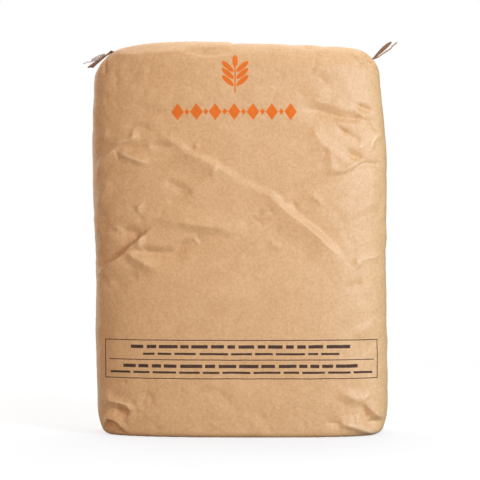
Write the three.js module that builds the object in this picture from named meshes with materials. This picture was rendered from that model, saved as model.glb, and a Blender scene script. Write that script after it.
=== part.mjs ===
// A 20 kg sack of flour: a full kraft paper sack that stands on its flat bottom, the crepe tape that is
// sewn over its mouth, and the sewing thread.
// Sizes are in millimetres. +Z is up and the printed front faces -Y. The origin is the middle of the bottom.
import * as THREE from "three";
import { mergeVertices } from "three/addons/utils/BufferGeometryUtils.js";

// The full sack. Each profile is a list of [height, distance from the middle].
const HEIGHT = 538;
const LEFT_EDGE = [
  [0, 187], [8, 192], [28, 197.6], [60, 199], [140, 200.7], [230, 200.9],
  [290, 203.3], [400, 206], [440, 204.4], [480, 205], [538, 202],
];
const RIGHT_EDGE = [
  [0, 192], [8, 197.5], [28, 203], [60, 204], [200, 203.5],
  [375, 202.8], [420, 200.2], [460, 196.5], [500, 193.8], [538, 191],
];
const FRONT_FACE = [[0, 75], [120, 79], [250, 80], [400, 77], [538, 70]];
const BACK_FACE = [[0, 71], [140, 78], [300, 77], [430, 73], [538, 68]];
const SQUARENESS = 4.4; // exponent of the horizontal section: 2 is an ellipse, more is boxier
// How much deeper each face is at its middle than at its sides, and the exponent of that curve.
const FRONT_LEFT_BULGE = [21, 2];
const FRONT_RIGHT_BULGE = [9, 3];
const BACK_BULGE = [16, 2];
const SHOULDER_RADIUS = 29;
const BOTTOM_RADIUS = 7;

// The top: its crest as [x, height], and how far it lies below that as [y, drop].
const CREST = [
  [-200, 520], [-175, 528.8], [-160, 532.5], [-140, 535.6], [-100, 538],
  [-25, 537.7], [2, 535.5], [60, 534.2], [150, 530.2], [200, 523],
];
const TOP_FALL = [[-80, 9], [-58, 2], [-38, 0], [-16, 3], [0, 10], [16, 7], [40, 6], [80, 12]];

// The left shoulder slants: a plane through this [x, height] cuts it, and this is how steeply it faces up.
const SLANT_POINT = [-195.5, 513.5];
const SLANT_ANGLE = THREE.MathUtils.degToRad(33);
const SLANT_RADIUS = 8;

// The gussets: a fold line down the middle of each side, as [height, depth of the fold].
const GUSSET_DEPTH = [[0, 4], [50, 6], [170, 2], [350, 4], [460, 9], [538, 13]];
const GUSSET_WIDTH = 34;

// The closing tape lies on the back half of the top, and its two ends stand off the shoulders.
const TAPE_WIDTH = 27;
const TAPE_THICKNESS = 2.2;
const TAPE_CLEARANCE = 1.4;
const TAPE_FRONT = 3; // y of the tape's front edge
const TAPE_STEP = 12;
const LEFT_ROOT = new THREE.Vector2(-182, 531);
const LEFT_TIP = new THREE.Vector2(-209.5, 508);
const RIGHT_ROOT = new THREE.Vector2(186, 520.5);
const RIGHT_TIP = new THREE.Vector2(212, 544);
const END_STEPS = 5;
const END_FORWARD = 9; // how far the tips stand in front of the tape's middle line
const TAPE_LEAVES = 30; // length over which the tape parts from the sack's top before each root
const LEFT_LEAN = 0.45; // how far each tip is turned about the end's own line, in radians
const RIGHT_LEAN = 0.5;
const LEFT_NARROWS = 0.2; // share of the width lost at each tip
const RIGHT_NARROWS = 0.75;

// The sewing thread: a chain along the tape, a flat loop on the left end and a tail at both ends.
const THREAD_RADIUS = 0.9;
const THREAD_GAP = 0.8;
const THREAD_ACROSS = 0.36; // where the stitch line lies, as a share of the tape's width
const THREAD_SIDES = 6;
const TAIL_STEPS = 6; // the tail turns off the tape over this share of its length
const LEFT_TAIL = new THREE.Vector3(-219, 6, 513.6);
const RIGHT_TAIL = new THREE.Vector3(219.5, 3, 543.5);

// The mesh of the sack: cells across, front to back and upwards, on a box that is then drawn onto the form.
const CELLS = { x: 30, y: 10, z: 38 };
const CORE_INSET = 50; // how far inside the box the points lie that its surface is drawn towards
const OUTER = 1.5; // the furthest reach of a line from the core, in lengths from core to box
const HALVINGS = 40;
const DEEP_INSIDE = 0.05; // share of the section's size under which a point counts as its middle
const SLOPE_STEP = 0.05;
const WELD = 0.01; // points closer than this are one, and what is this close to the floor is on it

// Creases of the paper as [distance around the sack from the middle of the front, height] from end to end,
// with the height of the ridge (a valley if negative) and how far it reaches to each side.
const CREASES = {
  longDiagonal: { line: [[-92, 398], [0, 350], [42, 329], [86, 284], [150, 232]], rise: 2.6, reach: 24 },
  leftFold: { line: [[-128, 276], [-160, 252], [-196, 228]], rise: -4.5, reach: 18 },
  leftShelf: { line: [[-150, 252], [-118, 248], [-66, 250]], rise: -2.4, reach: 18 },
  leftPeak: { line: [[-192, 374], [-165, 390], [-122, 371]], rise: 2.2, reach: 16 },
  leftHollow: { line: [[-118, 336], [-70, 333]], rise: -2.4, reach: 24 },
  rightFold: { line: [[60, 438], [110, 424], [156, 418]], rise: -2.4, reach: 16 },
  rightPleat: { line: [[120, 357], [165, 376], [200, 364]], rise: 2.4, reach: 18 },
  lowerRightStar: { line: [[142, 60], [167, 48], [176, 20]], rise: -3.2, reach: 20 },
  lowerLeftHollow: { line: [[-178, 42], [-150, 33]], rise: -4, reach: 20 },
  backLeft: { line: [[-485, 330], [-405, 380], [-325, 372]], rise: 2.4, reach: 26 },
  backRight: { line: [[470, 210], [395, 180], [315, 196]], rise: -2.6, reach: 28 },
  leftSide: { line: [[-282, 440], [-232, 400], [-215, 330]], rise: -3, reach: 22 },
  rightSide: { line: [[278, 120], [234, 150], [216, 214]], rise: -3, reach: 22 },
};
const CREASE_TAPER = 0.3; // share of a crease's length over which each end fades out
const CREASE_END = 0.15; // share of its height that a crease keeps at its ends
const RELIEF_FADES_BELOW = 28; // height under which the paper lies ever flatter, to meet the flat bottom

// The nominal box of the sack. Distances around it are measured across the front and back, and along the
// sides from where they begin, this far from the middle of the depth.
const BOX = { halfWidth: 205, halfDepth: 80, sides: 45 };

const COLOURS = {
  paper: { color: 0xd2a679, roughness: 0.85, metalness: 0 },
  tape: { color: 0x8a6238, roughness: 0.9, metalness: 0 },
  thread: { color: 0xd9d0c6, roughness: 0.95, metalness: 0 },
};

// A smooth curve through [position, value] keys, level beyond its ends.
function through(keys, at) {
  const last = keys.length - 1;
  if (at <= keys[0][0]) return keys[0][1];
  if (at >= keys[last][0]) return keys[last][1];
  const i = keys.findIndex(([position]) => position > at) - 1;
  const slope = (k) => {
    const [before, after] = [keys[Math.max(k - 1, 0)], keys[Math.min(k + 1, last)]];
    return (after[1] - before[1]) / (after[0] - before[0]);
  };
  const [start, end] = [keys[i], keys[i + 1]];
  const span = end[0] - start[0];
  const s = (at - start[0]) / span;
  const bend = s * s * (3 - 2 * s);
  const leave = s * (1 - s) * (1 - s) * span * slope(i);
  const arrive = s * s * (s - 1) * span * slope(i + 1);
  return start[1] + (end[1] - start[1]) * bend + leave + arrive;
}

// Two walls met in a rounded edge: a and b are distances outside each wall.
function roundedEdge(a, b, radius) {
  const beyond = Math.hypot(Math.max(radius + a, 0), Math.max(radius + b, 0));
  return Math.min(-radius, Math.max(a, b)) + beyond;
}

// About how far a point lies outside the upright walls.
function outsideWalls(x, y, z) {
  const fold = Math.max(1 - Math.abs(y) / GUSSET_WIDTH, 0) ** 2 * through(GUSSET_DEPTH, z);
  const halfWidth = through(x < 0 ? LEFT_EDGE : RIGHT_EDGE, z) - fold;
  const across = Math.abs(x) / halfWidth;
  const frontBulge = x < 0 ? FRONT_LEFT_BULGE : FRONT_RIGHT_BULGE;
  const [bulge, power] = y < 0 ? frontBulge : BACK_BULGE;
  const halfDepth = through(y < 0 ? FRONT_FACE : BACK_FACE, z) - bulge * Math.min(across, 1) ** power;
  const along = Math.abs(y) / halfDepth;
  const size = (across ** SQUARENESS + along ** SQUARENESS) ** (1 / SQUARENESS);
  if (size < DEEP_INSIDE) return -halfDepth;
  const steepX = (across / size) ** (SQUARENESS - 1) / halfWidth;
  const steepY = (along / size) ** (SQUARENESS - 1) / halfDepth;
  return (size - 1) / Math.hypot(steepX, steepY);
}

// About how far a point lies outside the sack, before the paper's creases.
function outside(x, y, z) {
  const top = through(CREST, x) - through(TOP_FALL, y);
  const square = roundedEdge(outsideWalls(x, y, z), z - top, SHOULDER_RADIUS);
  const [left, up] = [SLANT_POINT[0] - x, z - SLANT_POINT[1]];
  const slant = left * Math.cos(SLANT_ANGLE) + up * Math.sin(SLANT_ANGLE);
  const upper = roundedEdge(square, slant, SLANT_RADIUS);
  return roundedEdge(upper, -z, BOTTOM_RADIUS);
}

// The point where the line from a core point through a box point leaves the sack.
function drawnOnto(core, box) {
  const at = new THREE.Vector3();
  let [inner, outer] = [0, OUTER];
  for (let i = 0; i < HALVINGS; i++) {
    const middle = (inner + outer) / 2;
    at.lerpVectors(core, box, middle);
    if (outside(at.x, at.y, at.z) < 0) inner = middle;
    else outer = middle;
  }
  return at.lerpVectors(core, box, inner);
}

function facing(p) {
  const step = SLOPE_STEP;
  return new THREE.Vector3(
    outside(p.x + step, p.y, p.z) - outside(p.x - step, p.y, p.z),
    outside(p.x, p.y + step, p.z) - outside(p.x, p.y - step, p.z),
    outside(p.x, p.y, p.z + step) - outside(p.x, p.y, p.z - step),
  ).normalize();
}

// Distance around the sack from the middle of the front, positive towards +X.
function around(x, y) {
  const { halfWidth, sides } = BOX;
  const quarter = Math.abs(x) + Math.max(sides - Math.abs(y), 0); // from the middle of the nearer face
  const half = 2 * (halfWidth + sides);
  return Math.sign(x || 1) * (y < 0 ? quarter : half - quarter);
}

// Where a point lies against a crease: [signed distance from it, how far along it from 0 to 1].
function againstLine(line, u, v) {
  const lengths = line.slice(1).map(([a, b], i) => Math.hypot(a - line[i][0], b - line[i][1]));
  const total = lengths.reduce((sum, length) => sum + length, 0);
  let [nearest, share, done] = [Infinity, 0, 0];
  lengths.forEach((length, i) => {
    const [[u0, v0], [u1, v1]] = [line[i], line[i + 1]];
    const along = ((u - u0) * (u1 - u0) + (v - v0) * (v1 - v0)) / length ** 2;
    const s = THREE.MathUtils.clamp(along, 0, 1);
    const distance = Math.hypot(u - u0 - s * (u1 - u0), v - v0 - s * (v1 - v0));
    if (distance < nearest) [nearest, share] = [distance, (done + s * length) / total];
    done += length;
  });
  return [nearest, share];
}

function relief(p) {
  const [u, v] = [around(p.x, p.y), p.z];
  let sum = 0;
  for (const { line, rise, reach } of Object.values(CREASES)) {
    const [distance, share] = againstLine(line, u, v);
    if (distance >= reach) continue;
    const ends = Math.min(1, share / CREASE_TAPER, (1 - share) / CREASE_TAPER);
    sum += rise * Math.max(ends, CREASE_END) * (1 - distance / reach) ** 2;
  }
  return sum * THREE.MathUtils.smoothstep(v, 0, RELIEF_FADES_BELOW);
}

// A closed box of square cells, with each of its points drawn onto the sack.
function sackGeometry() {
  const half = { x: BOX.halfWidth, y: BOX.halfDepth, z: HEIGHT / 2 };
  const box = new THREE.BoxGeometry(2 * half.x, 2 * half.y, HEIGHT, CELLS.x, CELLS.y, CELLS.z);
  box.deleteAttribute("normal").deleteAttribute("uv");
  const geometry = mergeVertices(box, WELD);
  const points = geometry.getAttribute("position");
  for (let i = 0; i < points.count; i++) {
    const onBox = new THREE.Vector3().fromBufferAttribute(points, i);
    const core = new THREE.Vector3(
      ...["x", "y", "z"].map((axis) => {
        const reach = half[axis] - CORE_INSET;
        return THREE.MathUtils.clamp(onBox[axis], -reach, reach);
      }),
    );
    onBox.z += half.z;
    core.z += half.z;
    const onSack = drawnOnto(core, onBox);
    onSack.addScaledVector(facing(onSack), relief(onSack));
    if (onSack.z < WELD) onSack.z = 0;
    points.setXYZ(i, onSack.x, onSack.y, onSack.z);
  }
  return geometry;
}

// The height of the sack's top at x, y.
function topAt(x, y) {
  const [low, high] = [new THREE.Vector3(x, y, HEIGHT / 2), new THREE.Vector3(x, y, HEIGHT)];
  return drawnOnto(low, high).z;
}

// The tape's middle line from left to right: the place, lean and share of the full width at each station.
function tapeStations() {
  const middle = TAPE_FRONT + TAPE_WIDTH / 2;
  const rest = TAPE_CLEARANCE + TAPE_THICKNESS / 2;
  const end = (root, tip, share) => {
    const at = root.clone().lerp(tip, share);
    return new THREE.Vector3(at.x, middle - END_FORWARD * share, at.y);
  };
  const leaving = (root, x) => {
    return THREE.MathUtils.smoothstep(TAPE_LEAVES - Math.abs(x - root.x), 0, TAPE_LEAVES);
  };
  const stations = [];
  for (let i = END_STEPS; i > 0; i--) {
    const share = i / END_STEPS;
    const width = 1 - LEFT_NARROWS * share ** 2;
    stations.push({ place: end(LEFT_ROOT, LEFT_TIP, share), lean: LEFT_LEAN * Math.sqrt(share), width });
  }
  const steps = Math.round((RIGHT_ROOT.x - LEFT_ROOT.x) / TAPE_STEP);
  for (let i = 0; i <= steps; i++) {
    const x = THREE.MathUtils.lerp(LEFT_ROOT.x, RIGHT_ROOT.x, i / steps);
    const [front, back] = [topAt(x, TAPE_FRONT), topAt(x, TAPE_FRONT + TAPE_WIDTH)];
    const lying = Math.max(topAt(x, middle), (front + back) / 2) + rest;
    const [left, right] = [leaving(LEFT_ROOT, x), leaving(RIGHT_ROOT, x)];
    const height = lying + (LEFT_ROOT.y - lying) * left + (RIGHT_ROOT.y - lying) * right;
    const lean = Math.atan2(back - front, TAPE_WIDTH) * (1 - left - right);
    stations.push({ place: new THREE.Vector3(x, middle, height), lean, width: 1 });
  }
  for (let i = 1; i <= END_STEPS; i++) {
    const share = i / END_STEPS;
    const width = 1 - RIGHT_NARROWS * share ** 2;
    stations.push({ place: end(RIGHT_ROOT, RIGHT_TIP, share), lean: RIGHT_LEAN * Math.sqrt(share), width });
  }
  return stations;
}

// The directions across the tape and out of its upper side at each station, both square to its run.
function withDirections(stations) {
  return stations.map((station, i) => {
    const before = stations[Math.max(i - 1, 0)].place;
    const after = stations[Math.min(i + 1, stations.length - 1)].place;
    const ahead = after.clone().sub(before).normalize();
    const across = new THREE.Vector3(0, Math.cos(station.lean), Math.sin(station.lean));
    across.addScaledVector(ahead, -across.dot(ahead)).normalize();
    const out = ahead.clone().cross(across);
    return { ...station, across, out };
  });
}

// A closed band or rod: rings of points joined one to the next, with both ends closed by a fan.
function joinRings(rings) {
  const sides = rings[0].length;
  const faces = [];
  for (let r = 0; r + 1 < rings.length; r++) {
    for (let s = 0; s < sides; s++) {
      const [a, b] = [r * sides + s, r * sides + ((s + 1) % sides)];
      faces.push(a, b, b + sides, a, b + sides, a + sides);
    }
  }
  const lastRing = (rings.length - 1) * sides;
  for (let s = 1; s + 1 < sides; s++) {
    faces.push(0, s + 1, s, lastRing, lastRing + s, lastRing + s + 1);
  }
  return new THREE.BufferGeometry().setFromPoints(rings.flat()).setIndex(faces);
}

// The tape's section is a flat oblong.
function tapeGeometry(stations) {
  const rings = stations.map(({ place, across, out, width }) => {
    const [w, t] = [(TAPE_WIDTH * width) / 2, TAPE_THICKNESS / 2];
    const corners = [[-w, -t], [w, -t], [w, t], [-w, t]];
    return corners.map(([side, rise]) => {
      return place.clone().addScaledVector(across, side).addScaledVector(out, rise);
    });
  });
  return joinRings(rings);
}

// The thread lies along the tape's upper side and runs on past both ends.
function threadGeometry(stations) {
  const rise = TAPE_THICKNESS / 2 + THREAD_GAP + THREAD_RADIUS;
  const side = (THREAD_ACROSS - 0.5) * TAPE_WIDTH;
  const sewn = stations.map(({ place, across, out, width }) => {
    const centre = place.clone().addScaledVector(across, side * width).addScaledVector(out, rise);
    return { centre, across, out };
  });
  const tail = (from, to) => {
    const shares = [1 / TAIL_STEPS, 1];
    return shares.map((share) => ({ ...from, centre: from.centre.clone().lerp(to, share) }));
  };
  const line = [...tail(sewn[0], LEFT_TAIL).reverse(), ...sewn, ...tail(sewn.at(-1), RIGHT_TAIL)];
  const rings = line.map(({ centre, across, out }) =>
    Array.from({ length: THREAD_SIDES }, (_, s) => {
      const turn = (s / THREAD_SIDES) * 2 * Math.PI;
      const [sideways, upwards] = [Math.cos(turn) * THREAD_RADIUS, Math.sin(turn) * THREAD_RADIUS];
      return centre.clone().addScaledVector(across, sideways).addScaledVector(out, upwards);
    }),
  );
  return joinRings(rings);
}

function piece(name, geometry, look) {
  const mesh = new THREE.Mesh(geometry, new THREE.MeshStandardMaterial(look));
  mesh.name = name;
  return mesh;
}

const stations = withDirections(tapeStations());
const flourSack = new THREE.Group();
flourSack.add(piece("sack", sackGeometry(), COLOURS.paper));
flourSack.add(piece("closing_tape", tapeGeometry(stations), COLOURS.tape));
flourSack.add(piece("sewing_thread", threadGeometry(stations), COLOURS.thread));

export default flourSack;
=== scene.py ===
"""A full kraft paper sack of flour with its sewn closing tape and thread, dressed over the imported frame.

Lengths are written in millimetres and turned into metres when a mesh is made. +Z is up and the printed
front faces -Y, as in the frame.
"""
import math
import random
from dataclasses import dataclass

import bpy
import numpy as np
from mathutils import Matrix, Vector, noise


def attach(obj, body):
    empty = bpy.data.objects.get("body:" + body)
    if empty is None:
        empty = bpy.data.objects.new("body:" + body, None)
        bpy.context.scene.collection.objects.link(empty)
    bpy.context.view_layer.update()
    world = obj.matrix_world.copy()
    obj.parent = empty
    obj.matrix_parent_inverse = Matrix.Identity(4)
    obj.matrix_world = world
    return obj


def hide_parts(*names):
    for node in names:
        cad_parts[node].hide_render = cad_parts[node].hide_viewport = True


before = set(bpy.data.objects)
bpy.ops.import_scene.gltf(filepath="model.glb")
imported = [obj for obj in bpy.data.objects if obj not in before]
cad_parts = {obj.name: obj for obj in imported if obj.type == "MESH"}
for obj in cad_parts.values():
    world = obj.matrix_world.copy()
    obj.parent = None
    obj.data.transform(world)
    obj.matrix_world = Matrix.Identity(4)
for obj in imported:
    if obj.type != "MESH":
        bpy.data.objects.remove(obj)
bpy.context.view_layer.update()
MM = 0.001

# The camera stands level with the middle of the sack, 2.2 m from the middle of its depth.
CAMERA_DISTANCE = 2200
CAMERA_HEIGHT = 267
PHOTO_WIDTH = 669.6  # millimetres that the picture shows at that distance
SENSOR = 36

# The stage.
FLOOR_RADIUS = 1500
FLOOR_CLEAR = 750  # inside this radius the floor hasn't begun to fade
FLOOR_SIDES = 96
FLOOR_PALE = 0.9
FLOOR_SHOWS = 0.3  # how much of the floor shows in the white
WORLD_LIGHT = 0.09

# The full sack. Each profile is a list of (height, distance from the middle).
HEIGHT = 538
LEFT_EDGE = [(0, 187), (8, 192), (28, 197.6), (60, 199), (140, 200.7), (230, 200.9), (290, 203.3),
             (400, 206), (440, 204.4), (480, 205), (538, 202)]
RIGHT_EDGE = [(0, 192), (8, 197.5), (28, 203), (60, 204), (200, 203.5), (375, 202.8), (420, 200.2),
              (460, 196.5), (500, 193.8), (538, 191)]
FRONT_FACE = [(0, 75), (120, 79), (250, 80), (400, 77), (538, 70)]
BACK_FACE = [(0, 71), (140, 78), (300, 77), (430, 73), (538, 68)]
SQUARENESS = 4.4  # exponent of the horizontal section: 2 is an ellipse, more is boxier
# How much deeper each face is at its middle than at its sides, and the exponent of that curve.
FRONT_LEFT_BULGE = (21, 2)
FRONT_RIGHT_BULGE = (9, 3)
BACK_BULGE = (16, 2)
SHOULDER_RADIUS = 29
BOTTOM_RADIUS = 7

# The top: its crest as (x, height), and how far it lies below that as (y, drop).
CREST = [(-200, 520), (-175, 528.8), (-160, 532.5), (-140, 535.6), (-100, 538), (-25, 537.7), (2, 535.5),
         (60, 534.2), (150, 530.2), (200, 523)]
TOP_FALL = [(-80, 9), (-58, 2), (-38, 0), (-16, 3), (0, 10), (16, 7), (40, 6), (80, 12)]

# The left shoulder slants: a plane through this (x, height) cuts it, and this is how steeply it faces up.
SLANT_POINT = (-195.5, 513.5)
SLANT_ANGLE = math.radians(33)
SLANT_RADIUS = 8

# The gussets: a fold line down the middle of each side, as (height, depth of the fold).
GUSSET_DEPTH = [(0, 4), (50, 6), (170, 2), (350, 4), (460, 9), (538, 13)]
GUSSET_WIDTH = 34

# The nominal box of the sack. Distances around it are measured across the front and back, and along the
# sides from where they begin, this far from the middle of the depth.
HALF_WIDTH = 205
HALF_DEPTH = 80
SIDES_FROM = 45

# The mesh of the sack: cells across, front to back and upwards, on a box that is drawn onto the form.
CELLS = (230, 48, 296)
CORE_INSET = 50
OUTER = 1.5
HALVINGS = 26
DEEP_INSIDE = 0.05
FLOOR_SNAP = 0.02  # points this close to the floor lie on it
SLOPE_STEP = 0.05


def through(keys, at):
    """A smooth curve through (position, value) keys, level beyond its ends."""
    places = np.array([k[0] for k in keys], float)
    values = np.array([k[1] for k in keys], float)
    slopes = np.zeros(len(keys))
    last = len(keys) - 1
    for k in range(len(keys)):
        before, after = max(k - 1, 0), min(k + 1, last)
        slopes[k] = (values[after] - values[before]) / (places[after] - places[before])
    at = np.clip(at, places[0], places[-1])
    i = np.clip(np.searchsorted(places, at, side="right") - 1, 0, last - 1)
    span = places[i + 1] - places[i]
    s = (at - places[i]) / span
    bend = s * s * (3 - 2 * s)
    leave = s * (1 - s) ** 2 * span * slopes[i]
    arrive = s * s * (s - 1) * span * slopes[i + 1]
    return values[i] + (values[i + 1] - values[i]) * bend + leave + arrive


def smooth(low, high, at):
    """0 below low, 1 above high, and a soft step between."""
    s = np.clip((np.asarray(at, float) - low) / (high - low), 0, 1)
    return s * s * (3 - 2 * s)


def rounded_edge(a, b, radius):
    """Two walls met in a rounded edge: a and b are distances outside each wall."""
    beyond = np.hypot(np.maximum(radius + a, 0), np.maximum(radius + b, 0))
    return np.minimum(-radius, np.maximum(a, b)) + beyond


def outside_walls(x, y, z):
    """About how far points lie outside the upright walls."""
    fold = np.maximum(1 - np.abs(y) / GUSSET_WIDTH, 0) ** 2 * through(GUSSET_DEPTH, z)
    half_width = np.where(x < 0, through(LEFT_EDGE, z), through(RIGHT_EDGE, z)) - fold
    across = np.abs(x) / half_width
    face = np.where(y < 0, through(FRONT_FACE, z), through(BACK_FACE, z))
    in_front, on_left = y < 0, x < 0
    bulge, power = (
        np.where(in_front, np.where(on_left, left, right), back)
        for left, right, back in zip(FRONT_LEFT_BULGE, FRONT_RIGHT_BULGE, BACK_BULGE)
    )
    half_depth = face - bulge * np.minimum(across, 1) ** power
    along = np.abs(y) / half_depth
    size = np.maximum((across**SQUARENESS + along**SQUARENESS) ** (1 / SQUARENESS), DEEP_INSIDE)
    steep_x = (across / size) ** (SQUARENESS - 1) / half_width
    steep_y = (along / size) ** (SQUARENESS - 1) / half_depth
    steep = np.maximum(np.hypot(steep_x, steep_y), DEEP_INSIDE / HALF_WIDTH)
    return (size - 1) / steep


def outside(p):
    """About how far points lie outside the sack, before the paper's creases."""
    x, y, z = p[:, 0], p[:, 1], p[:, 2]
    top = through(CREST, x) - through(TOP_FALL, y)
    square = rounded_edge(outside_walls(x, y, z), z - top, SHOULDER_RADIUS)
    slant = (SLANT_POINT[0] - x) * math.cos(SLANT_ANGLE) + (z - SLANT_POINT[1]) * math.sin(SLANT_ANGLE)
    upper = rounded_edge(square, slant, SLANT_RADIUS)
    return rounded_edge(upper, -z, BOTTOM_RADIUS)


def drawn_onto(core, box):
    """The points where lines from core points through box points leave the sack."""
    inner = np.zeros(len(core))
    outer = np.full(len(core), OUTER)
    for _ in range(HALVINGS):
        middle = (inner + outer) / 2
        within = outside(core + (box - core) * middle[:, None]) < 0
        inner = np.where(within, middle, inner)
        outer = np.where(within, outer, middle)
    return core + (box - core) * inner[:, None]


def facing(p):
    """Unit directions out of the sack."""
    slopes = []
    for axis in range(3):
        step = np.zeros(3)
        step[axis] = SLOPE_STEP
        slopes.append(outside(p + step) - outside(p - step))
    out = np.stack(slopes, axis=1)
    return out / np.linalg.norm(out, axis=1)[:, None]


def around(x, y):
    """Distance around the sack from the middle of the front, positive towards +X."""
    quarter = np.abs(x) + np.maximum(SIDES_FROM - np.abs(y), 0)  # from the middle of the nearer face
    half = 2 * (HALF_WIDTH + SIDES_FROM)
    return np.where(x < 0, -1, 1) * np.where(y < 0, quarter, half - quarter)


def against_line(line, u, v):
    """Where points lie against a line: signed distance (left of its run is positive) and share of its run."""
    line = np.array(line, float)
    steps = np.diff(line, axis=0)
    lengths = np.hypot(steps[:, 0], steps[:, 1])
    nearest = np.full(u.shape, np.inf)
    signed = np.zeros(u.shape)
    share = np.zeros(u.shape)
    done = 0.0
    for start, step, length in zip(line, steps, lengths):
        du, dv = u - start[0], v - start[1]
        s = np.clip((du * step[0] + dv * step[1]) / length**2, 0, 1)
        distance = np.hypot(du - s * step[0], dv - s * step[1])
        side = np.where(step[0] * dv - step[1] * du >= 0, 1, -1)
        closer = distance < nearest
        nearest = np.where(closer, distance, nearest)
        signed = np.where(closer, distance * side, signed)
        share = np.where(closer, (done + s * length) / lengths.sum(), share)
        done += length
    return signed, share


WEAR_AND_GLINT_WIDTH = 2.6  # half the width of the pale line along a crease: rubbed paper and a painted highlight
CREASE_STRENGTH = 1.85  # the rise that a crease gets, for each millimetre in the tables
CREASE_SLOPE = 1.35  # exponent of a crease's flanks: 1 is flat, more is hollow


@dataclass
class Crease:
    """A crease of the paper along a line of (distance around, height) points.

    rise is its height (a valley if negative). left and right are how far the paper takes to level out on
    each side of the run, right as far as left where it isn't given. With a ramp, the right side falls over
    that width to `under` below level. It tapers over a share of its run at each end, to the share of its
    height that it keeps there.
    """

    line: list
    rise: float
    left: float
    right: float = None
    ramp: float = 0
    under: float = 0
    taper: float = 0.25
    keep: float = 0.2
    # strength of the pale line along the ridge: partly rubbed paper, partly a painted highlight
    wear_and_glint: float = 0
    along: list = None  # (share of the run, strength) keys, where it isn't even

    def __post_init__(self):
        if self.right is None:
            self.right = self.left

    def shape(self, u, v):
        """The height that the crease adds, and the strength of its pale ridge line (rubbed paper and a
        painted highlight), at points u, v.
        """
        signed, share = against_line(self.line, u, v)
        away = np.abs(signed)
        ends = np.minimum(1, np.minimum(share, 1 - share) / self.taper)
        ends = self.keep + (1 - self.keep) * smooth(0, 1, ends)
        if self.along:
            ends *= through(self.along, share)
        rise = self.rise * CREASE_STRENGTH
        under = self.under * CREASE_STRENGTH
        left = rise * np.maximum(1 - away / self.left, 0) ** CREASE_SLOPE
        if self.ramp:
            fall = rise - (rise + under) * away / self.ramp
            beyond = -under * np.maximum(1 - (away - self.ramp) / self.right, 0) ** CREASE_SLOPE
            right = np.where(away < self.ramp, fall, beyond)
        else:
            right = rise * np.maximum(1 - away / self.right, 0) ** CREASE_SLOPE
        height = np.where(signed > 0, left, right) * ends
        worn_and_glinting = self.wear_and_glint * ends * np.maximum(1 - away / WEAR_AND_GLINT_WIDTH, 0)
        return height, worn_and_glinting


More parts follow.
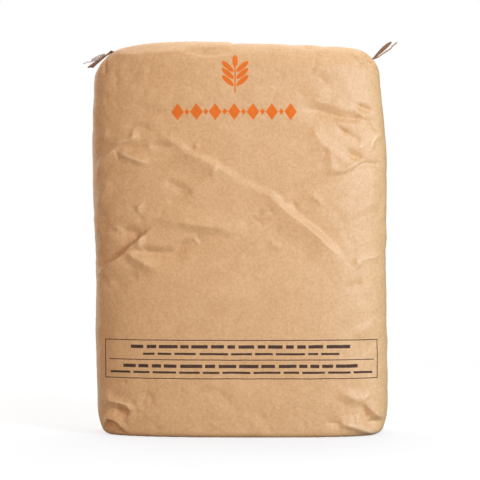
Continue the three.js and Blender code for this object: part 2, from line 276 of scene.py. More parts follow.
# The creases of the walls.
WALL_CREASES = {
    # The long diagonal fold down the right half: a flat strip that leans to the upper right.
    "long_fold": Crease(
        [(136, 243), (118, 259), (105, 272), (90, 285), (72, 298), (55, 312), (41, 326), (26, 333),
         (0, 345), (-24, 361), (-36, 368), (-54, 377), (-73, 384), (-87, 397)],
        2.4, 30, 40, ramp=8.5, under=0.9, taper=0.1,
        along=[(0, 0.9), (0.2, 1.0), (0.4, 0.8), (0.5, 0.42), (0.7, 0.34), (0.8, 0.95), (0.92, 1.1),
               (1, 0.6)]),
    "long_fold_branch": Crease([(-33, 368), (-35, 360), (-39, 351)], 1.1, 7, 9, taper=0.4),
    "long_fold_trail": Crease([(-39, 351), (-54, 341), (-70, 330)], 0.7, 8, 10),
    "long_fold_nick": Crease([(-57, 399), (-61, 388)], 1.0, 6, 8, taper=0.4),
    "long_fold_root": Crease([(-102, 404), (-87, 397)], 1.0, 14, 12, taper=0.5, keep=0.6),
    # The crumples on the left, a hand's width above the middle.
    "left_ray_up": Crease([(-199, 362), (-190, 374), (-171, 389), (-166, 389)], 1.3, 9, 14, wear_and_glint=0.5),
    "left_ray_down": Crease(
        [(-166, 389), (-159, 384), (-152, 380), (-136, 374), (-122, 371)], 1.5, 14, 8, keep=0.3, wear_and_glint=1),
    "left_ray_level": Crease(
        [(-164, 389), (-146, 391), (-126, 394), (-112, 394), (-88, 393)], -1.5, 10, 9, keep=0.5),
    "left_ray_bump": Crease([(-124, 395), (-120, 392)], 1.2, 9, taper=0.5, keep=0.7, wear_and_glint=0.5),
    "left_upper": Crease(
        [(-177, 401), (-167, 399), (-158, 401), (-147, 404), (-140, 408), (-135, 412)], 1.2, 12, 8, keep=0.1,
        wear_and_glint=0.6),
    "left_upper_stem": Crease([(-144, 415), (-146, 405)], 0.9, 6, taper=0.5, keep=0.6),
    "left_high_arc": Crease([(-157, 423), (-140, 422), (-128, 419), (-119, 414)], -0.8, 6, 9),
    "left_notch": Crease([(-182, 415), (-185, 408)], 1.0, 6, taper=0.5, keep=0.6, wear_and_glint=0.5),
    "left_soft_edge": Crease([(-178, 350), (-184, 338), (-190, 325), (-196, 311)], 1.0, 12, 16),
    "left_arrow_top": Crease([(-101, 346), (-86, 340), (-72, 334)], -1.4, 9, 16, keep=0.4),
    "left_arrow_side": Crease([(-72, 334), (-72, 329), (-82, 323), (-100, 320)], -1.1, 10, 12),
    "left_pock": Crease([(-132, 315), (-138, 310), (-136, 306)], 1.0, 6, taper=0.5, keep=0.7, wear_and_glint=0.6),
    "left_tick": Crease([(-112, 302), (-101, 305)], -0.8, 6, taper=0.5),
    # The deep fold at the left edge and the shelves beside it.
    "deep_fold": Crease(
        [(-203, 225), (-196, 231), (-189, 233), (-178, 239), (-171, 244), (-160, 252), (-150, 262),
         (-140, 270), (-131, 276)],
        -3.6, 26, 14, ramp=3.4, under=-1.7, taper=0.14, keep=0.35, wear_and_glint=0.9),
    "deep_fold_tip": Crease([(-164, 280), (-148, 279), (-134, 279), (-131, 276)], -1.2, 10, 12, keep=0.6),
    "deep_fold_stem": Crease(
        [(-131, 276), (-135, 266), (-136, 259), (-132, 254)], 1.2, 8, keep=0.6, wear_and_glint=0.5),
    "shelf": Crease(
        [(-153, 251), (-132, 253), (-122, 251), (-104, 250), (-88, 251), (-82, 257), (-78, 260), (-60, 266),
         (-58, 267)],
        -2.7, 9, 22, keep=0.5),
    "shelf_under": Crease(
        [(-153, 251), (-145, 244), (-132, 238), (-125, 233), (-122, 230)], 2.4, 18, 12, keep=0.5, wear_and_glint=0.3),
    "shelf_tick": Crease([(-60, 268), (-57, 264)], 0.9, 5, taper=0.5, keep=0.7, wear_and_glint=1),
    "left_pleat": Crease([(-170, 285), (-163, 281)], 1.1, 7, taper=0.5, keep=0.6, wear_and_glint=0.6),
    "middle_shelf": Crease(
        [(-93, 291), (-73, 289), (-47, 285), (-22, 282), (-12, 278)], 2.1, 24, 12, keep=0.4),
    "left_low": Crease([(-180, 211), (-166, 211), (-150, 218), (-134, 219)], -1.3, 12, 14),
    "left_edge_line": Crease([(-188, 269), (-176, 278)], 0.7, 6, taper=0.5),
    "left_small": Crease([(-137, 298), (-132, 292)], -0.9, 7, taper=0.5),
    # The crumples under the right shoulder.
    "right_pleat": Crease(
        [(87, 445), (110, 441), (116, 440), (129, 435), (141, 432), (155, 431), (173, 431)],
        -3.0, 12, 16, keep=0.3),
    "right_pleat_lip": Crease(
        [(122, 429), (129, 426), (148, 424), (166, 423), (175, 430)], 1.7, 11, 10, keep=0.4),
    "right_wedge": Crease([(159, 441), (164, 436), (173, 431)], 1.5, 9, 8, keep=0.5),
    "right_top": Crease([(159, 449), (171, 446), (179, 442)], -2.2, 6, 10, keep=0.4),
    "right_dark_side": Crease([(167, 424), (178, 429), (189, 413)], -1.5, 9, 7, keep=0.5),
    "right_tick": Crease([(134, 419), (139, 414), (148, 410)], -1.6, 5, 6, keep=0.5),
    "right_curl": Crease([(148, 406), (158, 404), (161, 399)], -1.0, 7, keep=0.5),
    "right_glint": Crease([(158, 391), (168, 396)], 0.9, 6, taper=0.5, wear_and_glint=0.7),
    "right_edge_ray": Crease(
        [(192, 412), (186, 409), (180, 401), (177, 392), (175, 388)], 1.3, 8, keep=0.5, wear_and_glint=0.8),
    "right_slope": Crease(
        [(89, 422), (98, 415), (109, 397), (129, 383), (146, 370)], 1.4, 16, 22, keep=0.3),
    "right_short": Crease([(116, 389), (113, 381)], -0.9, 6, taper=0.5),
    "right_side_of_patch": Crease([(121, 385), (124, 358)], 0.9, 10, 12),
    "right_tongue_top": Crease([(148, 384), (155, 380), (166, 377)], -2.4, 9, 7, keep=0.6),
    "right_tongue_bottom": Crease(
        [(122, 358), (140, 361), (155, 368), (168, 376)], 1.5, 10, 6, keep=0.5, wear_and_glint=0.4),
    "right_wave": Crease(
        [(154, 364), (161, 368), (170, 371), (180, 370), (187, 370), (192, 364)],
        -1.6, 7, 10, keep=0.4, wear_and_glint=0.3),
    "right_faint": Crease([(93, 331), (113, 313)], 0.7, 8),
    "right_long": Crease([(58, 327), (75, 335), (98, 345), (121, 356)], -1.1, 9, 13, keep=0.6),
    "right_fan": Crease([(184, 323), (180, 317), (171, 311), (158, 304), (148, 297)], 0.5, 9, 11),
    "right_tick_low": Crease([(153, 228), (162, 235), (158, 238), (172, 243), (184, 244), (194, 249)], 1.0, 8,
                             wear_and_glint=0.6),
    "right_arc": Crease([(141, 201), (152, 205), (167, 209)], -0.9, 10, 12),
    "right_arc_low": Crease([(155, 135), (168, 146), (180, 157)], 0.8, 12, 14),
    "middle_nick": Crease([(0, 286), (13, 292), (19, 295), (20, 294), (33, 288)], -0.9, 7, 8),
    "middle_nick_up": Crease([(30, 310), (22, 296)], -0.8, 6, taper=0.5),
    "middle_dot": Crease([(40, 306), (45, 303)], -1.0, 5, taper=0.5, keep=0.7),
    "middle_faint": Crease([(39, 265), (55, 255)], 0.7, 9),
    "fold_side_tick": Crease([(71, 317), (76, 310)], -1.0, 5, taper=0.5, keep=0.6),
    # The star at the lower right corner.
    "star_bright": Crease([(139, 58), (153, 53), (167, 47)], 1.8, 14, 12, keep=0.5),
    "star_glint": Crease([(167, 52), (173, 57)], 1.0, 5, 6, taper=0.5, keep=0.7, wear_and_glint=0.9),
    "star_down": Crease([(167, 47), (171, 33), (174, 19)], -2.6, 14, 12, keep=0.6),
    "star_out": Crease([(167, 47), (174, 40), (184, 31), (195, 22)], 1.9, 14, 9, keep=0.6, wear_and_glint=0.3),
    "star_low": Crease([(174, 19), (185, 20), (195, 21)], -1.8, 9, keep=0.7),
    "star_tick": Crease([(176, 28), (174, 20)], 0.9, 5, taper=0.5, wear_and_glint=0.6),
    "star_small": Crease([(155, 24), (159, 27), (157, 17)], 1.0, 5, wear_and_glint=0.5),
    "corner_ridge": Crease(
        [(140, 18), (155, 14), (167, 10), (175, 7), (184, 5)], 2.6, 16, 8, keep=0.6, taper=0.15, wear_and_glint=1),
    "ridge_shadow": Crease([(115, 20), (138, 20)], -1.0, 10, 9),
    # The dents at the lower left corner.
    "dent_rim": Crease(
        [(-183, 56), (-177, 48), (-164, 46), (-154, 43), (-149, 36), (-148, 30)],
        2.4, 9, 14, keep=0.5, wear_and_glint=0.4),
    "dent_line": Crease([(-164, 48), (-150, 44), (-143, 47)], -1.0, 6, keep=0.5),
    "dent_floor": Crease([(-172, 37), (-160, 34), (-150, 33)], -3.0, 13, 12, keep=0.4),
    "dent_facet": Crease([(-133, 48), (-127, 57), (-121, 55), (-120, 47), (-127, 42)], -0.9, 8, keep=0.6),
    "dent_tick": Crease([(-159, 74), (-155, 71)], -0.8, 6, taper=0.5),
    "corner_tuck": Crease(
        [(-187, 17), (-181, 23), (-171, 20), (-162, 12)], 2.0, 10, ramp=3, under=3.4, keep=0.6, taper=0.15),
    # Faint lines of the middle of the front.
    "faint_a": Crease([(-37, 20), (-33, 18)], 0.7, 4, taper=0.5, wear_and_glint=0.6),
    "faint_b": Crease([(-60, 196), (-20, 188), (30, 194)], 0.6, 26),
    "faint_c": Crease([(-30, 96), (40, 88), (96, 104)], -0.6, 26),
    "faint_d": Crease([(-120, 470), (-60, 462), (0, 470)], 0.7, 30),
    "faint_e": Crease([(40, 470), (90, 480), (150, 476)], -0.8, 22, 24),
    # The crest and the shoulders.
    "shoulder_line": Crease([(-176, 516), (-168, 520), (-150, 519), (-120, 519), (-66, 523)], 1.3, 10, 12),
    "shoulder_pinch": Crease([(-66, 522), (-40, 521), (-14, 524), (-9, 529)], -2.2, 7, 9, keep=0.5),
    "gusset_edge_left": Crease([(-191, 518), (-188, 508), (-185, 496)], -1.7, 5, 9, keep=0.5, taper=0.5),
    "right_shoulder_a": Crease([(157, 519), (163, 513), (166, 508), (167, 505)], 1.5, 9, 7, keep=0.5),
    "right_shoulder_b": Crease([(162, 505), (172, 505)], -1.4, 7, 8, keep=0.5),
    "right_hollow": Crease(
        [(172, 521), (175, 516.5), (179, 513.5), (182, 511.5)], -4.6, 5, keep=0.7, taper=0.2),
    # The sides and the back, which the photograph doesn't show.
    "left_side_a": Crease([(-282, 440), (-254, 404), (-238, 362)], -2.2, 18, 20),
    "left_side_b": Crease([(-236, 326), (-254, 318), (-284, 330)], 1.6, 12, 14, wear_and_glint=0.3),
    "left_side_c": Crease([(-236, 204), (-256, 188), (-276, 150)], 1.4, 14, 16, wear_and_glint=0.3),
    "left_side_d": Crease([(-235, 88), (-248, 84), (-274, 92)], -1.8, 14, 15),
    "right_side_a": Crease([(278, 118), (252, 144), (236, 184)], -2.2, 18),
    "right_side_b": Crease([(236, 272), (252, 280), (278, 270)], 1.5, 12, 14, wear_and_glint=0.3),
    "right_side_c": Crease([(236, 382), (252, 372), (284, 380)], -1.7, 15, 17),
    "right_side_d": Crease([(235, 50), (250, 44), (278, 52)], 1.4, 13, wear_and_glint=0.3),
    "back_fold_left": Crease(
        [(-318, 246), (-350, 262), (-392, 292), (-440, 327), (-482, 350)], 2.0, 26, 20, wear_and_glint=0.2),
    "back_fold_right": Crease(
        [(446, 262), (412, 240), (376, 226), (322, 192)], 1.5, 20, 26, ramp=7, under=0.7, taper=0.2),
    "back_high_a": Crease([(382, 430), (350, 441), (312, 427)], -1.7, 15, 13, keep=0.4),
    "back_high_b": Crease([(366, 411), (340, 407), (318, 399)], 1.3, 10, 12, wear_and_glint=0.3),
    "back_high_c": Crease([(349, 474), (330, 462), (310, 459)], -1.1, 9, 10),
    "back_high_d": Crease([(-311, 452), (-338, 446), (-376, 455)], 1.2, 13, 16),
    "back_high_e": Crease([(-318, 416), (-352, 424)], -0.9, 9, 12, taper=0.5),
    "back_star_a": Crease([(-328, 51), (-350, 43), (-371, 57)], 1.6, 12, 11, keep=0.5, wear_and_glint=0.3),
    "back_star_b": Crease([(-350, 43), (-342, 19)], -1.9, 11, 9, keep=0.6),
    "back_star_c": Crease([(-350, 43), (-384, 35)], -1.1, 9, 10, keep=0.4),
    "back_corner_a": Crease([(366, 61), (342, 49), (318, 56)], -1.5, 12, 10, keep=0.4),
    "back_corner_b": Crease([(342, 49), (333, 21)], 1.5, 9, 11, keep=0.5, wear_and_glint=0.4),
    "back_faint_a": Crease([(-378, 182), (-440, 171), (-486, 177)], 0.7, 24, 26),
    "back_faint_b": Crease([(468, 402), (420, 389), (384, 397)], -0.8, 20, 18),
    "back_faint_c": Crease([(441, 139), (388, 127)], 0.8, 16, 18, taper=0.5),
    "back_faint_d": Crease([(-411, 112), (-452, 97)], -0.7, 18, 16, taper=0.5),
    "back_tick_a": Crease([(-362, 322), (-371, 312), (-368, 304)], 0.9, 6, taper=0.5, wear_and_glint=0.5),
    "back_tick_b": Crease([(401, 322), (409, 330)], -0.8, 6, taper=0.5, keep=0.6),
}

# Creases of the top as lines of (x, y) points.
TOP_CREASES = {
    "front_pucker": Crease([(-9, -52), (-8, -34), (-12, -8)], -1.8, 7, 9, taper=0.4),
    "left_fall": Crease([(-150, -30), (-146, -4)], -1.5, 9, taper=0.5),
    "right_fall": Crease([(148, -28), (152, -4)], 1.5, 10, taper=0.5, wear_and_glint=0.3),
}

# The puckers: they run forwards and backwards off the sewing, from these (y, direction along y).
PUCKER_SEED = 11
PUCKERS_FROM, PUCKERS_TO = -170, 172
PUCKER_ROWS = ((4, -1), (29, 1))
PUCKER_START = 6  # how far they reach under the tape
PUCKER_REACH = (16, 34)
PUCKER_DRIFT = 7  # most that one slants sideways
PUCKER_FLANKS = (5, 9)
PUCKER_GAPS = (8, 24)
PUCKER_RISES = (-3.4, -2.2, 0.8)

# Soft unevenness of the paper, by noise: swells of (size, height), then facets of two sizes.
SWELLS = [(150, 1.5), (62, 0.7)]
CRUMPLES = [(40, 1.8, 3), (15, 0.45, 8)]  # size, height and seed
CRUMPLE_MIDDLE = 0.35  # the facets' own mean height, taken off
CALM_MIDDLE = 0.25  # share of the facets' height that the middle of the sack keeps
CALM_PATCH = 95  # size of the patches in which there are more or fewer of them
FADES_BELOW = 9  # height under which the paper lies ever flatter, to meet the flat bottom

# How upright, and how level, the paper is where the creases of the walls and of the top fade out.
WALL_FADES = (0.0, 0.35)
TOP_FADES = (0.3, 0.75)

# The flattened mouth of the sack lies back under the tape, a little proud of the top.
HEM_FRONT = (-12, 4)
HEM_BACK = 30
HEM_RISE = 1.0

# The glued seam up the back, where one edge of the paper laps over the other.
SEAM_X = -38
SEAM_STEP = 0.9
SEAM_FADES = 60


def puckers():
    """The small folds in which the sewing gathers the paper, in front of the tape and behind it."""
    draw = random.Random(PUCKER_SEED)
    folds = []
    for seam, ahead in PUCKER_ROWS:
        x = PUCKERS_FROM + draw.uniform(4, 14)
        while x < PUCKERS_TO:
            reach = draw.uniform(*PUCKER_REACH)
            end = (x + draw.uniform(-PUCKER_DRIFT, PUCKER_DRIFT), seam + reach * ahead)
            rise = draw.choice(PUCKER_RISES) * draw.uniform(0.5, 1)
            left, right = draw.uniform(*PUCKER_FLANKS), draw.uniform(*PUCKER_FLANKS)
            line = [(x, seam - PUCKER_START * ahead), end]
            folds.append(Crease(line, rise, left, right, taper=0.7, keep=0.1))
            x += draw.uniform(*PUCKER_GAPS)
    return folds


def lattice():
    """The surface of a box of cells: unit coordinates of its points, and its quads facing outwards."""
    nx, ny, nz = CELLS
    ids = np.full((nx + 1, ny + 1, nz + 1), -1)
    on_surface = np.zeros(ids.shape, bool)
    on_surface[[0, -1], :, :] = True
    on_surface[:, [0, -1], :] = True
    on_surface[:, :, [0, -1]] = True
    places = np.argwhere(on_surface)
    ids[on_surface] = np.arange(len(places))

    def quads(sheet, turned):
        a, b, c, d = sheet[:-1, :-1], sheet[1:, :-1], sheet[1:, 1:], sheet[:-1, 1:]
        order = (a, d, c, b) if turned else (a, b, c, d)
        return np.stack([corner.ravel() for corner in order], axis=1)

    faces = [
        quads(ids[:, 0, :], False),
        quads(ids[:, -1, :], True),
        quads(ids[0, :, :], True),
        quads(ids[-1, :, :], False),
        quads(ids[:, :, 0], True),
        quads(ids[:, :, -1], False),
    ]
    return places / np.array(CELLS, float), np.concatenate(faces)


def cell_ridges(points, size, seed):
    """Paper-like facets: 0 along the borders of random cells, rising to 1 inside them."""
    shift = Vector((seed * 17.3, seed * -9.1, seed * 5.7))
    heights = np.empty(len(points))
    for i, p in enumerate(points):
        distances, _ = noise.voronoi(Vector(p) / size + shift)
        heights[i] = distances[1] - distances[0]
    return np.minimum(heights, 1)


def swell(points, size, seed):
    """Soft waves of about -1 to 1."""
    shift = Vector((seed * 3.1, seed * 7.7, seed * -4.3))
    return np.array([noise.noise(Vector(p) / size + shift) for p in points])


def relief(points, out):
    """How far the paper stands off the plain form, and how strong the pale line along its creases is: rubbed
    paper and a painted highlight.
    """
    x, y, z = points.T
    u = around(x, y)
    on_wall = 1 - np.abs(out[:, 2])
    wall = smooth(*WALL_FADES, on_wall)
    on_top = smooth(*TOP_FADES, out[:, 2])
    height = np.zeros(len(points))
    worn_and_glinting = np.zeros(len(points))
    for crease in WALL_CREASES.values():
        rise, wear_and_glint = crease.shape(u, z)
        height += rise * wall
        worn_and_glinting = np.maximum(worn_and_glinting, wear_and_glint * wall)
    for crease in (*TOP_CREASES.values(), *puckers()):
        rise, wear_and_glint = crease.shape(x, y)
        height += rise * on_top
        worn_and_glinting = np.maximum(worn_and_glinting, wear_and_glint * on_top)
    for seed, (size, rise) in enumerate(SWELLS):
        height += rise * swell(points, size, seed + 1)
    away_from_middle = np.maximum(np.abs(x) / HALF_WIDTH, np.abs(z - HEIGHT / 2) / (HEIGHT / 2))
    rough = CALM_MIDDLE + (1 - CALM_MIDDLE) * smooth(0.35, 1.0, away_from_middle)
    rough = rough * (0.5 + smooth(-0.3, 0.5, swell(points, CALM_PATCH, 5)))
    for size, rise, seed in CRUMPLES:
        height += rise * rough * (cell_ridges(points, size, seed) - CRUMPLE_MIDDLE)
    hem = smooth(*HEM_FRONT, y) * (y < HEM_BACK)
    height += HEM_RISE * hem * on_top
    under_lap = (y > 0) & (x > SEAM_X)
    height -= SEAM_STEP * wall * under_lap * smooth(SEAM_X + SEAM_FADES, SEAM_X, x)
    return height * smooth(0, FADES_BELOW, z), worn_and_glinting


def mesh_object(name, points_mm, faces):
    mesh = bpy.data.meshes.new(name)
    mesh.from_pydata((np.asarray(points_mm) * MM).tolist(), [], faces)
    mesh.polygons.foreach_set("use_smooth", [True] * len(mesh.polygons))
    mesh.update()
    made = bpy.data.objects.new(name, mesh)
    bpy.context.scene.collection.objects.link(made)
    return made


def point_values(made, name, values):
    """Stores one number for each point of a mesh, for its material to read."""
    layer = made.data.attributes.new(name, "FLOAT", "POINT")
    layer.data.foreach_set("value", np.asarray(values, np.float32))


def make_sack():
    """The front half and the back half of the sack, which meet at the gusset folds and under the tape."""
    unit, faces = lattice()
    half = np.array([HALF_WIDTH, HALF_DEPTH, HEIGHT / 2])
    box = (2 * unit - 1) * half
    core = np.clip(box, CORE_INSET - half, half - CORE_INSET)
    lift = np.array([0, 0, HEIGHT / 2])
    plain = drawn_onto(core + lift, box + lift)
    out = facing(plain)
    height, worn_and_glinting = relief(plain, out)
    points = plain + out * height[:, None]
    points[:, 2] = np.where(points[:, 2] < FLOOR_SNAP, 0, points[:, 2])
    in_front = unit[faces][:, :, 1].mean(axis=1) < 0.5
    halves = []
    for name, chosen in (("sack_front", faces[in_front]), ("sack_back", faces[~in_front])):
        used, numbers = np.unique(chosen, return_inverse=True)
        made = mesh_object(name, points[used], numbers.reshape(chosen.shape).tolist())
        point_values(made, "print_x", plain[used, 0] * MM)
        point_values(made, "print_z", plain[used, 2] * MM)
        point_values(made, "on_front", smooth(*PRINT_FADES, plain[used, 1]))
        # the pale line along the creases, partly rubbed paper and partly a painted highlight, for the
        # material to read
        point_values(made, "worn_and_glinting", worn_and_glinting[used])
        halves.append(made)
    return halves


def linear(red, green, blue):
    """An sRGB colour of 0 to 255 as linear light, with alpha."""
    channels = []
    for value in (red, green, blue):
        c = value / 255
        channels.append(c / 12.92 if c <= 0.04045 else ((c + 0.055) / 1.055) ** 2.4)
    return (*channels, 1.0)


class Nodes:
    """Short ways to build a material's node tree."""

    def __init__(self, name):
        self.material = bpy.data.materials.new(name)
        self.material.use_nodes = True
        self.tree = self.material.node_tree
        self.shader = self.tree.nodes["Principled BSDF"]

    def add(self, kind, **settings):
        node = self.tree.nodes.new(kind)
        for key, value in settings.items():
            setattr(node, key, value)
        return node

    def feed(self, socket, value):
        if isinstance(value, bpy.types.NodeSocket):
            self.tree.links.new(value, socket)
        else:
            socket.default_value = value

    def made(self, output, feeds, kind, **settings):
        """Adds a node, feeds its inputs by name or number, and returns one of its outputs."""
        node = self.add(kind, **settings)
        for socket, value in feeds.items():
            self.feed(node.inputs[socket], value)
        return node.outputs[output]

    def math(self, operation, *values, clamp=False):
        return self.made(0, dict(enumerate(values)), "ShaderNodeMath", operation=operation, use_clamp=clamp)

    def ramp(self, value, low, high):
        """0 where value is below low, 1 above high."""
        feeds = {"Value": value, "From Min": low, "From Max": high}
        return self.made("Result", feeds, "ShaderNodeMapRange", interpolation_type="SMOOTHSTEP")

    def spread(self, value, low, high):
        """Maps 0..1 onto low..high."""
        return self.made("Result", {"Value": value, "To Min": low, "To Max": high}, "ShaderNodeMapRange")

    def mix(self, share, first, second):
        return self.made(2, {"Factor": share, 6: first, 7: second}, "ShaderNodeMix", data_type="RGBA")

    def attribute(self, name):
        return self.made("Fac", {}, "ShaderNodeAttribute", attribute_name=name)

    def place(self, scale=(1, 1, 1)):
        """Object coordinates in metres, scaled."""
        where = self.add("ShaderNodeTexCoord").outputs["Object"]
        return self.made("Vector", {"Vector": where, "Scale": scale}, "ShaderNodeMapping")

    def noise(self, place, scale, detail=3, roughness=0.55):
        """Noise of 0 to 1: scale is how many waves there are in a metre, and detail how many finer ones."""
        feeds = {"Vector": place, "Scale": scale, "Detail": detail, "Roughness": roughness}
        return self.made("Fac", feeds, "ShaderNodeTexNoise")

    def cell_edges(self, place, scale):
        """Distance from the borders of random cells, in widths of a cell."""
        feeds = {"Vector": place, "Scale": scale}
        return self.made("Distance", feeds, "ShaderNodeTexVoronoi", feature="DISTANCE_TO_EDGE")

    def bump(self, height, metres, strength=1, normal=None):
        """Shading as if height, of 0 to 1, stood this many metres proud."""
        feeds = {"Height": height, "Distance": metres, "Strength": strength}
        if normal:
            feeds["Normal"] = normal
        return self.made("Normal", feeds, "ShaderNodeBump")


PAPER_DARK = linear(193, 146, 91)
PAPER_LIGHT = linear(223, 180, 130)
# The pale of rubbed crease ridges, which also serves as a painted highlight along them.
PAPER_WORN_AND_GLINT = linear(238, 208, 172)
ORANGE_INK = linear(222, 106, 0)
BROWN_INK = linear(58, 36, 24)
TAPE_LIGHT = linear(160, 118, 76)
TAPE_DARK = linear(112, 78, 48)
THREAD_LIGHT = linear(232, 224, 215)
THREAD_DARK = linear(188, 172, 158)
LOOPER_LIGHT = linear(196, 156, 116)
LOOPER_DARK = linear(150, 112, 78)

# The print, in millimetres on the front: x to the right and z up.
PRINT_EDGE = 0.25  # softness of an edge
PRINT_WOBBLE = 1.1  # how far its lines wander
PRINT_FADES = (-20, -30)  # y at the gusset side where it has ended, and where it is whole
INK_ROUGHER = 0.4  # what ink adds to the paper's roughness
FRAME_LEFT, FRAME_RIGHT = -184, 187
FRAME_LOW, FRAME_HIGH = 80, 132
FRAME_LINE = 1.2
DIVIDER_HEIGHT = 105.4
DIVIDER_INSET = 5
# The rows of plain bars inside the frame: (middle height, bar height, left end, right end, mean bar length).
BAR_ROWS = [(123.2, 4.6, -148, 149, 21), (113.4, 3.0, -131, 134, 26), (96.8, 4.6, -159, 159, 22),
            (88.2, 3.0, -177, 180, 29)]
BAR_GAP = 4.2
BAR_SEED = 7
LOZENGE_MIDDLE = (-8, 440)
LOZENGE_SPACING = 25.4
LOZENGE_COUNT = 7
LOZENGE_LARGE = (8.6, 11.5)
LOZENGE_SMALL = (3.4, 4.6)
WHEAT_FOOT = (-6.7, 465)
WHEAT_STEM = (1.8, 44)  # width and height
GRAIN = (3.4, 10.6)  # half width and half length
GRAIN_TURN = math.radians(48)
GRAIN_OUT = 9.8
GRAIN_LOWEST = 17
GRAIN_STEP = 9.6
GRAIN_PAIRS = 3
TIP_GRAIN = (3.6, 8.2)

# Fine creases, as nets of cells that show in patches: (cells and patches in a metre, line width in cells).
HAIRLINES = [(13, 11, 0.05), (29, 15, 0.06)]


def box_mask(n, x, z, low, high):
    """1 inside an upright oblong from corner low to corner high."""
    half_x, half_z = (high[0] - low[0]) / 2, (high[1] - low[1]) / 2
    from_x = n.math("ABSOLUTE", n.math("SUBTRACT", x, low[0] + half_x))
    from_z = n.math("ABSOLUTE", n.math("SUBTRACT", z, low[1] + half_z))
    inside = n.math("MINIMUM", n.math("SUBTRACT", half_x, from_x), n.math("SUBTRACT", half_z, from_z))
    return n.ramp(inside, -PRINT_EDGE, PRINT_EDGE)


def union(n, masks):
    total = masks[0]
    for mask in masks[1:]:
        total = n.math("MAXIMUM", total, mask)
    return total


def frame_mask(n, x, z):
    """The thin frame, and the line that divides it."""
    line = FRAME_LINE / 2
    outer = box_mask(n, x, z, (FRAME_LEFT - line, FRAME_LOW - line), (FRAME_RIGHT + line, FRAME_HIGH + line))
    inner = box_mask(n, x, z, (FRAME_LEFT + line, FRAME_LOW + line), (FRAME_RIGHT - line, FRAME_HIGH - line))
    divider = box_mask(n, x, z, (FRAME_LEFT + DIVIDER_INSET, DIVIDER_HEIGHT - line),
                       (FRAME_RIGHT - DIVIDER_INSET, DIVIDER_HEIGHT + line))
    return union(n, [n.math("SUBTRACT", outer, inner, clamp=True), divider])


def bars_mask(n, x, z, row, draw):
    """A row of plain bars of uneven length between two ends."""
    height, thick, left, right, mean = row
    across = n.math("DIVIDE", n.math("SUBTRACT", x, left), right - left)
    ramp = n.add("ShaderNodeValToRGB")
    ramp.color_ramp.interpolation = "CONSTANT"
    n.feed(ramp.inputs["Fac"], across)
    elements = ramp.color_ramp.elements
    elements[0].position, elements[0].color = 0, (1, 1, 1, 1)
    at = 0.0
    while True:
        at += mean * draw.uniform(0.45, 1.55)
        if at > right - left - mean * 0.4:
            break
        elements.new(at / (right - left)).color = (0, 0, 0, 1)
        at += BAR_GAP
        elements.new(at / (right - left)).color = (1, 1, 1, 1)
    elements[-1].position, elements[-1].color = 1, (0, 0, 0, 1)
    band = box_mask(n, x, z, (left, height - thick / 2), (right, height + thick / 2))
    return n.math("MULTIPLY", ramp.outputs["Color"], band)


def lozenge_mask(n, x, z, shift, size, count):
    """A row of lozenges at even spacing, around a middle that is shifted sideways."""
    from_middle = n.math("SUBTRACT", x, LOZENGE_MIDDLE[0])
    share = n.math("DIVIDE", n.math("SUBTRACT", from_middle, shift), LOZENGE_SPACING)
    nearest = n.math("SUBTRACT", share, n.math("ROUND", share))
    across = n.math("DIVIDE", n.math("ABSOLUTE", nearest), size[0] / LOZENGE_SPACING)
    up = n.math("DIVIDE", n.math("ABSOLUTE", n.math("SUBTRACT", z, LOZENGE_MIDDLE[1])), size[1])
    inside = n.ramp(n.math("SUBTRACT", 1, n.math("ADD", across, up)), -0.03, 0.03)
    within = n.math("LESS_THAN", n.math("ABSOLUTE", from_middle), LOZENGE_SPACING * count / 2)
    return n.math("MULTIPLY", inside, within)


def grain_mask(n, x, z, middle, size, angle):
    """An upright oval that leans outwards by an angle."""
    dx = n.math("SUBTRACT", x, middle[0])
    dz = n.math("SUBTRACT", z, middle[1])
    cos, sin = math.cos(angle), math.sin(angle)
    across = n.math("SUBTRACT", n.math("MULTIPLY", dx, cos), n.math("MULTIPLY", dz, sin))
    along = n.math("ADD", n.math("MULTIPLY", dx, sin), n.math("MULTIPLY", dz, cos))
    p = n.math("DIVIDE", across, size[0])
    q = n.math("DIVIDE", along, size[1])
    far = n.math("ADD", n.math("MULTIPLY", p, p), n.math("MULTIPLY", q, q))
    return n.ramp(n.math("SUBTRACT", 1, far), -0.1, 0.1)


def wheat_mask(n, x, z):
    """An ear of wheat: pairs of grains up a stem, and one at the tip."""
    across = n.math("SUBTRACT", x, WHEAT_FOOT[0])
    up = n.math("SUBTRACT", z, WHEAT_FOOT[1])
    side = n.math("ABSOLUTE", across)
    width, height = WHEAT_STEM
    masks = [box_mask(n, across, up, (-width / 2, 0), (width / 2, height)),
             grain_mask(n, side, up, (0, height), TIP_GRAIN, 0)]
    for k in range(GRAIN_PAIRS):
        masks.append(grain_mask(n, side, up, (GRAIN_OUT, GRAIN_LOWEST + k * GRAIN_STEP), GRAIN, GRAIN_TURN))
    return union(n, masks)


def print_masks(n):
    """Where the orange and the brown ink lie."""
    wobble = n.noise(n.place(), 38, 2)
    shift = n.math("MULTIPLY", n.math("SUBTRACT", wobble, 0.5), PRINT_WOBBLE)
    x = n.math("ADD", n.math("MULTIPLY", n.attribute("print_x"), 1 / MM), shift)
    z = n.math("ADD", n.math("MULTIPLY", n.attribute("print_z"), 1 / MM), shift)
    draw = random.Random(BAR_SEED)
    bars = [bars_mask(n, x, z, row, draw) for row in BAR_ROWS]
    brown = union(n, [frame_mask(n, x, z), *bars])
    large = lozenge_mask(n, x, z, 0, LOZENGE_LARGE, LOZENGE_COUNT)
    small = lozenge_mask(n, x, z, LOZENGE_SPACING / 2, LOZENGE_SMALL, LOZENGE_COUNT - 1)
    orange = union(n, [large, small, wheat_mask(n, x, z)])
    front = n.attribute("on_front")
    return n.math("MULTIPLY", orange, front), n.math("MULTIPLY", brown, front)


